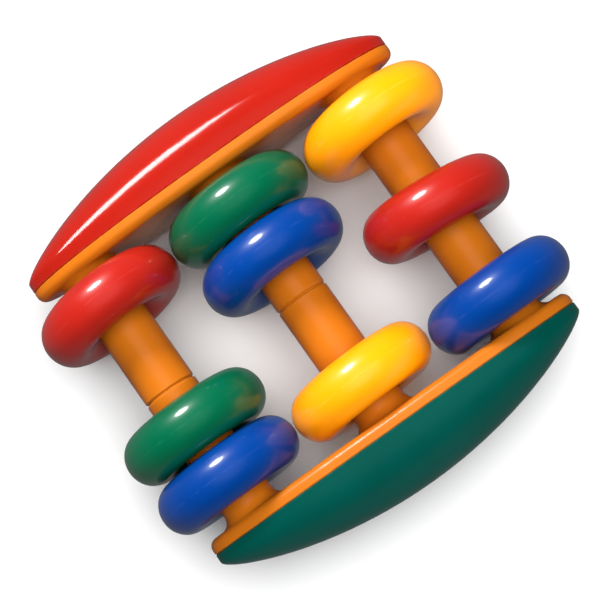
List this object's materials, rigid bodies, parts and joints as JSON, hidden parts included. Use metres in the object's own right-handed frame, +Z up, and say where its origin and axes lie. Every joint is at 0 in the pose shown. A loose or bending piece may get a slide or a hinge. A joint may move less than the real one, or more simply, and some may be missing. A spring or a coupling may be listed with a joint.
{
  "type": "baby rattle",
  "caption": "Abacus-style baby rattle: loose hollow rings slide and click along parallel grip posts between a pair of domed ends.",
  "frame": {"origin": "on the ground under the centre of the rattle, which lies flat on its rings; the post axes are one ring radius above it", "axes": "+X along the end domes, from the left post to the right post; +Y along the posts, towards the red dome; +Z up, square to the plane of the posts"},
  "size_m": [0.134, 0.125, 0.0445],
  "materials": {
    "red_dome": "polished moulded plastic",
    "green_dome": "polished moulded plastic",
    "amber_frame": "polished moulded plastic",
    "red_ring": "polished moulded plastic",
    "green_ring": "polished moulded plastic",
    "blue_ring": "polished moulded plastic",
    "yellow_ring": "polished moulded plastic"
  },
  "bodies": {
    "frame": {"red_end_dome": "red_dome", "green_end_dome": "green_dome", "red_end_frame": "amber_frame", "green_end_frame": "amber_frame"},
    "left_red_ring": {"left_red_ring_upper_half": "red_ring", "left_red_ring_lower_half": "red_ring"},
    "left_green_ring": {"left_green_ring_upper_half": "green_ring", "left_green_ring_lower_half": "green_ring"},
    "left_blue_ring": {"left_blue_ring_upper_half": "blue_ring", "left_blue_ring_lower_half": "blue_ring"},
    "middle_green_ring": {"middle_green_ring_upper_half": "green_ring", "middle_green_ring_lower_half": "green_ring"},
    "middle_blue_ring": {"middle_blue_ring_upper_half": "blue_ring", "middle_blue_ring_lower_half": "blue_ring"},
    "middle_yellow_ring": {"middle_yellow_ring_upper_half": "yellow_ring", "middle_yellow_ring_lower_half": "yellow_ring"},
    "right_yellow_ring": {"right_yellow_ring_upper_half": "yellow_ring", "right_yellow_ring_lower_half": "yellow_ring"},
    "right_red_ring": {"right_red_ring_upper_half": "red_ring", "right_red_ring_lower_half": "red_ring"},
    "right_blue_ring": {"right_blue_ring_upper_half": "blue_ring", "right_blue_ring_lower_half": "blue_ring"}
  },
  "joints": [
    {"name": "left_red_ring_slide", "type": "slide", "parent": "frame", "child": "left_red_ring", "axis": [0, 1, 0], "range_m": [-0.0124, 0.0024]},
    {"name": "left_green_ring_slide", "type": "slide", "parent": "frame", "child": "left_green_ring", "axis": [0, 1, 0], "range_m": [-0.0003, 0.0124]},
    {"name": "left_blue_ring_slide", "type": "slide", "parent": "frame", "child": "left_blue_ring", "axis": [0, 1, 0], "range_m": [-0.0038, 0.0003]},
    {"name": "middle_green_ring_slide", "type": "slide", "parent": "frame", "child": "middle_green_ring", "axis": [0, 1, 0], "range_m": [-0.0001, 0.0018]},
    {"name": "middle_blue_ring_slide", "type": "slide", "parent": "frame", "child": "middle_blue_ring", "axis": [0, 1, 0], "range_m": [-0.0133, 0.0001]},
    {"name": "middle_yellow_ring_slide", "type": "slide", "parent": "frame", "child": "middle_yellow_ring", "axis": [0, 1, 0], "range_m": [-0.0033, 0.0133]},
    {"name": "right_yellow_ring_slide", "type": "slide", "parent": "frame", "child": "right_yellow_ring", "axis": [0, 1, 0], "range_m": [-0.0065, 0.0032]},
    {"name": "right_red_ring_slide", "type": "slide", "parent": "frame", "child": "right_red_ring", "axis": [0, 1, 0], "range_m": [-0.0062, 0.0065]},
    {"name": "right_blue_ring_slide", "type": "slide", "parent": "frame", "child": "right_blue_ring", "axis": [0, 1, 0], "range_m": [-0.0014, 0.0063]}
  ]
}
